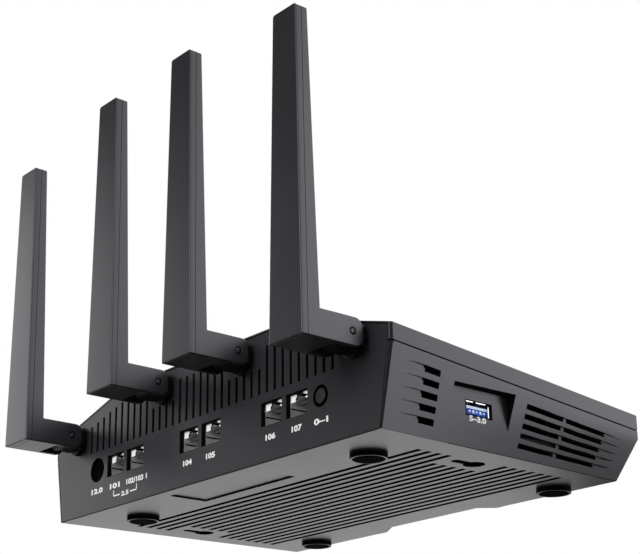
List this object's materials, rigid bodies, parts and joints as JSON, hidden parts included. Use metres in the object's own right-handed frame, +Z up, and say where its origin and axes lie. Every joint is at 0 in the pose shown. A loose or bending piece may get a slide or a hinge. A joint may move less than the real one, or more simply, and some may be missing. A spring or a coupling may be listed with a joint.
{
  "type": "wireless router",
  "caption": "Wireless router with a wedge-shaped vented case, network, power and USB sockets, and folding antennas on swivelling hinges.",
  "frame": {"origin": "on the surface it stands on, below the middle of the box round the whole router with its antennas upright", "axes": "+Z up, -Y towards the low front edge, +X towards the power inlet"},
  "size_m": [0.233, 0.17, 0.1746],
  "materials": {
    "housing_plastic": "fine satin moulding texture",
    "cover_plastic": "fine satin moulding texture",
    "panel_plastic": "fine satin moulding texture, pale printed marks",
    "antenna_plastic": "satin",
    "knuckle_plastic": "satin",
    "foot_rubber": "matt",
    "screw_steel": "zinc plated",
    "hinge_steel": "plain",
    "contact_steel": "nickel plated",
    "jack_shield": "tinned sheet",
    "black_insulator": "satin",
    "board_laminate": "solder mask",
    "usb_insert_plastic": "smooth",
    "sink_aluminium": "extruded",
    "guide_plastic": "clear",
    "radiator_strip": "bare copper alloy on laminate",
    "lead_jacket": "smooth"
  },
  "bodies": {
    "base": {"lower_housing": "housing_plastic", "top_cover": "cover_plastic", "rear_panel": "panel_plastic", "foot_pad_rear_left": "foot_rubber", "foot_pad_rear_right": "foot_rubber", "foot_pad_front_left": "foot_rubber", "foot_pad_front_right": "foot_rubber", "housing_screw_1": "screw_steel", "housing_screw_2": "screw_steel", "housing_screw_3": "screw_steel", "housing_screw_4": "screw_steel", "board_screw_1": "screw_steel", "board_screw_2": "screw_steel", "circuit_board": "board_laminate", "network_jack_1": "jack_shield", "network_jack_2": "jack_shield", "network_jack_3": "jack_shield", "network_jack_4": "jack_shield", "network_jack_5": "jack_shield", "network_jack_6": "jack_shield", "radio_shield_1": "jack_shield", "radio_shield_2": "jack_shield", "power_jack": "black_insulator", "reset_switch": "black_insulator", "processor": "black_insulator", "power_pin": "contact_steel", "usb_shell": "contact_steel", "usb_insert": "usb_insert_plastic", "heat_sink": "sink_aluminium", "light_guide": "guide_plastic", "antenna_lead_1": "lead_jacket", "antenna_lead_2": "lead_jacket", "antenna_lead_3": "lead_jacket", "antenna_lead_4": "lead_jacket"},
    "knuckle_1": {"antenna_1_knuckle": "knuckle_plastic", "antenna_1_clip": "hinge_steel"},
    "antenna_1": {"antenna_1_shell": "antenna_plastic", "antenna_1_back": "antenna_plastic", "antenna_1_pin": "hinge_steel", "antenna_1_strip": "radiator_strip"},
    "knuckle_2": {"antenna_2_knuckle": "knuckle_plastic", "antenna_2_clip": "hinge_steel"},
    "antenna_2": {"antenna_2_shell": "antenna_plastic", "antenna_2_back": "antenna_plastic", "antenna_2_pin": "hinge_steel", "antenna_2_strip": "radiator_strip"},
    "knuckle_3": {"antenna_3_knuckle": "knuckle_plastic", "antenna_3_clip": "hinge_steel"},
    "antenna_3": {"antenna_3_shell": "antenna_plastic", "antenna_3_back": "antenna_plastic", "antenna_3_pin": "hinge_steel", "antenna_3_strip": "radiator_strip"},
    "knuckle_4": {"antenna_4_knuckle": "knuckle_plastic", "antenna_4_clip": "hinge_steel"},
    "antenna_4": {"antenna_4_shell": "antenna_plastic", "antenna_4_back": "antenna_plastic", "antenna_4_pin": "hinge_steel", "antenna_4_strip": "radiator_strip"},
    "reset": {"reset_button": "panel_plastic"}
  },
  "joints": [
    {"name": "antenna_1_swivel", "type": "hinge", "parent": "base", "child": "knuckle_1", "pos_m": [0.0966, 0.061, 0.03795], "axis": [0, 1, 0], "range_deg": [-12, 90]},
    {"name": "antenna_1_tilt", "type": "hinge", "parent": "knuckle_1", "child": "antenna_1", "pos_m": [0.0966, 0.061, 0.03795], "axis": [-1, 0, 0], "range_deg": [-90, 90]},
    {"name": "antenna_2_swivel", "type": "hinge", "parent": "base", "child": "knuckle_2", "pos_m": [0.028, 0.061, 0.04745], "axis": [0, 1, 0], "range_deg": [-18, 18]},
    {"name": "antenna_2_tilt", "type": "hinge", "parent": "knuckle_2", "child": "antenna_2", "pos_m": [0.028, 0.061, 0.04745], "axis": [-1, 0, 0], "range_deg": [-90, 90]},
    {"name": "antenna_3_swivel", "type": "hinge", "parent": "base", "child": "knuckle_3", "pos_m": [-0.028, 0.061, 0.04745], "axis": [0, 1, 0], "range_deg": [-18, 18]},
    {"name": "antenna_3_tilt", "type": "hinge", "parent": "knuckle_3", "child": "antenna_3", "pos_m": [-0.028, 0.061, 0.04745], "axis": [1, 0, 0], "range_deg": [-90, 90]},
    {"name": "antenna_4_swivel", "type": "hinge", "parent": "base", "child": "knuckle_4", "pos_m": [-0.0966, 0.061, 0.03795], "axis": [0, 1, 0], "range_deg": [-90, 12]},
    {"name": "antenna_4_tilt", "type": "hinge", "parent": "knuckle_4", "child": "antenna_4", "pos_m": [-0.0966, 0.061, 0.03795], "axis": [1, 0, 0], "range_deg": [-90, 90]},
    {"name": "reset_press", "type": "slide", "parent": "base", "child": "reset", "axis": [0, -1, 0], "range_m": [0, 0.001], "stiffness_N_per_m": 400}
  ]
}
